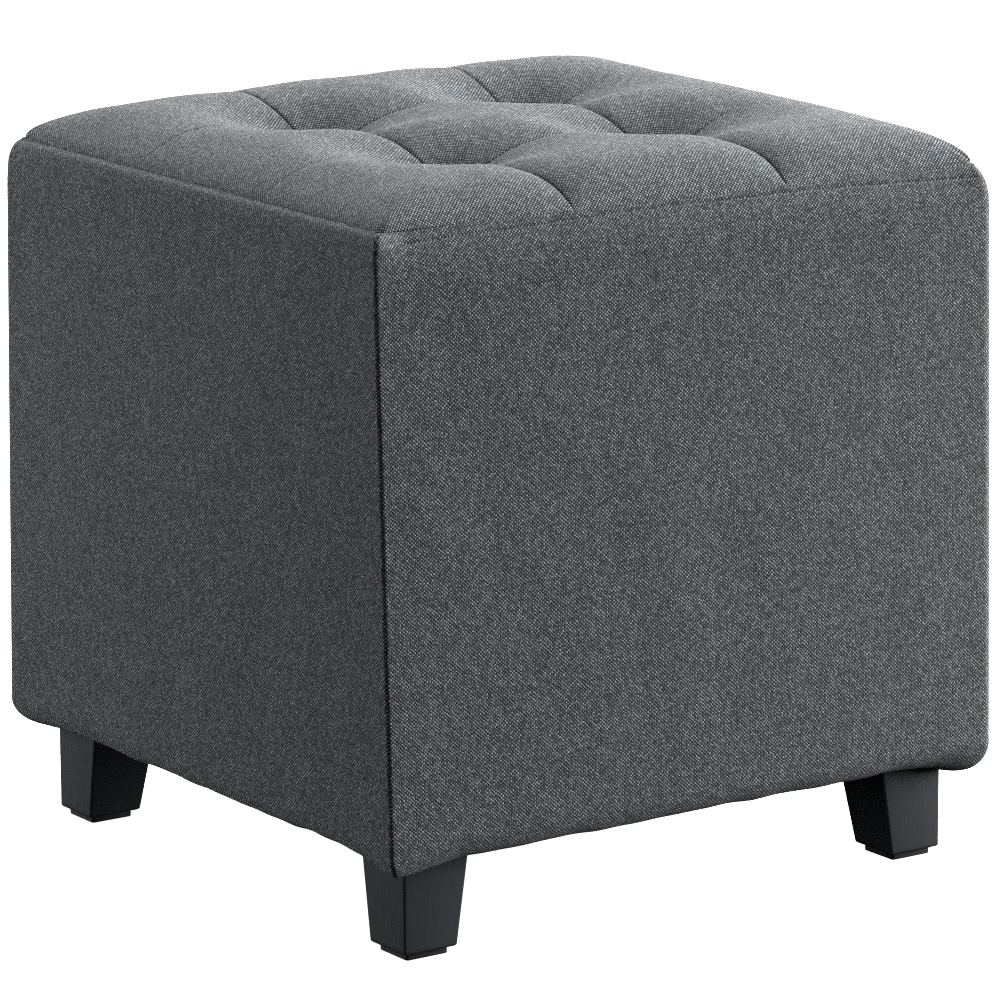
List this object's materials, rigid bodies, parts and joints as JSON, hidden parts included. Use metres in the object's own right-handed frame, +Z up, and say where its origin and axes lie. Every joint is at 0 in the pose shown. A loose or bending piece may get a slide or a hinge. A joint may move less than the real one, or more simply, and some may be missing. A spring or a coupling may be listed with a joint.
{
  "type": "cube pouf stool",
  "caption": "Upholstered cube pouf with a quilted, blind-tufted top pad, padded side panels in woven charcoal cloth, and short black tapered legs.",
  "frame": {"origin": "on the floor, under the middle of the pouf", "axes": "+Z up; -Y is the front face, and the pouf is square, with its tufts on lines along X and Y"},
  "size_m": [0.4118, 0.4118, 0.4251],
  "materials": {
    "charcoal_linen": "heathered plain weave, matt",
    "dust_cloth": "black spun-bonded cloth, matt",
    "black_wood": "black satin lacquer",
    "glide_plastic": "moulded, matt"
  },
  "bodies": {
    "root": {"top_pad": "charcoal_linen", "side_panel_front": "charcoal_linen", "side_panel_right": "charcoal_linen", "side_panel_back": "charcoal_linen", "side_panel_left": "charcoal_linen", "base_panel": "dust_cloth", "leg_front_left": "black_wood", "leg_front_right": "black_wood", "leg_back_left": "black_wood", "leg_back_right": "black_wood", "glide_front_left": "glide_plastic", "glide_front_right": "glide_plastic", "glide_back_left": "glide_plastic", "glide_back_right": "glide_plastic"}
  },
  "joints": []
}
